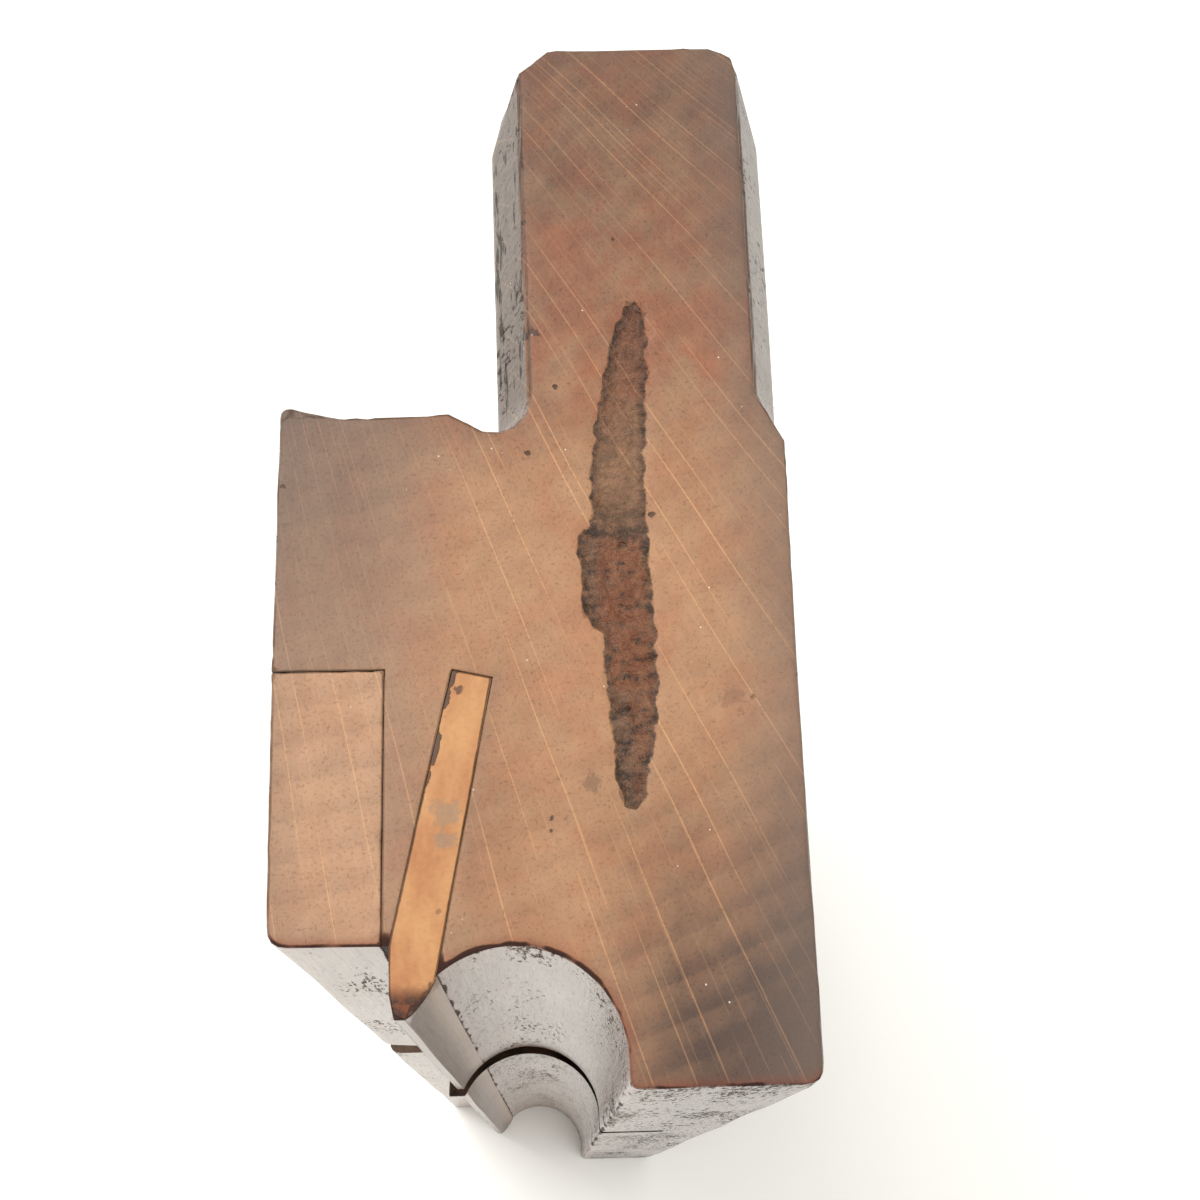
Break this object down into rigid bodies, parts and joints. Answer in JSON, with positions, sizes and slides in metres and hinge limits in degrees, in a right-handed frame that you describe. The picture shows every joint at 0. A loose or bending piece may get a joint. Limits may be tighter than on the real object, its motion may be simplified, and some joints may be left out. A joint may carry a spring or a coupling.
{
  "type": "wooden side bead moulding plane",
  "caption": "Wooden moulding plane with a stepped grip, a hollow sole beside a slanted boxwood quirk, a fence, and a wedged iron that clears its shavings through the side.",
  "frame": {"origin": "middle of the heel's end face, on which the plane stands", "axes": "+Z from the heel to the toe, +Y from the sole up to the grip, +X from the shoulder side across to the fence"},
  "size_m": [0.0384, 0.1228, 0.2413],
  "materials": {
    "beech": "old waxed beech, dark and rubbed",
    "slip_beech": "old waxed beech, dark and rubbed",
    "boxwood": "polished by use",
    "wedge_beech": "old waxed beech with mallet dents",
    "iron": "dark forged iron with a ground edge",
    "screw_steel": "dulled, lightly rusted"
  },
  "bodies": {
    "stock": {"stock": "beech", "boxing_toe": "boxwood", "boxing_heel": "boxwood"},
    "iron": {"iron": "iron"},
    "wedge": {"wedge": "wedge_beech"},
    "slip_toe": {"slip_toe": "slip_beech", "slip_screws_toe": "screw_steel"},
    "slip_heel": {"slip_heel": "slip_beech", "slip_screws_heel": "screw_steel"}
  },
  "joints": [
    {"name": "wedge_slide", "type": "slide", "parent": "stock", "child": "wedge", "axis": [0, 0.766, -0.6428], "range_m": [0, 0.095]},
    {"name": "iron_slide", "type": "slide", "parent": "stock", "child": "iron", "axis": [0, 0.766, -0.6428], "range_m": [-0.06, 0.002]},
    {"name": "slip_toe_slide", "type": "slide", "parent": "stock", "child": "slip_toe", "axis": [-1, 0, 0], "range_m": [0, 0.04]},
    {"name": "slip_heel_slide", "type": "slide", "parent": "stock", "child": "slip_heel", "axis": [-1, 0, 0], "range_m": [0, 0.04]}
  ]
}
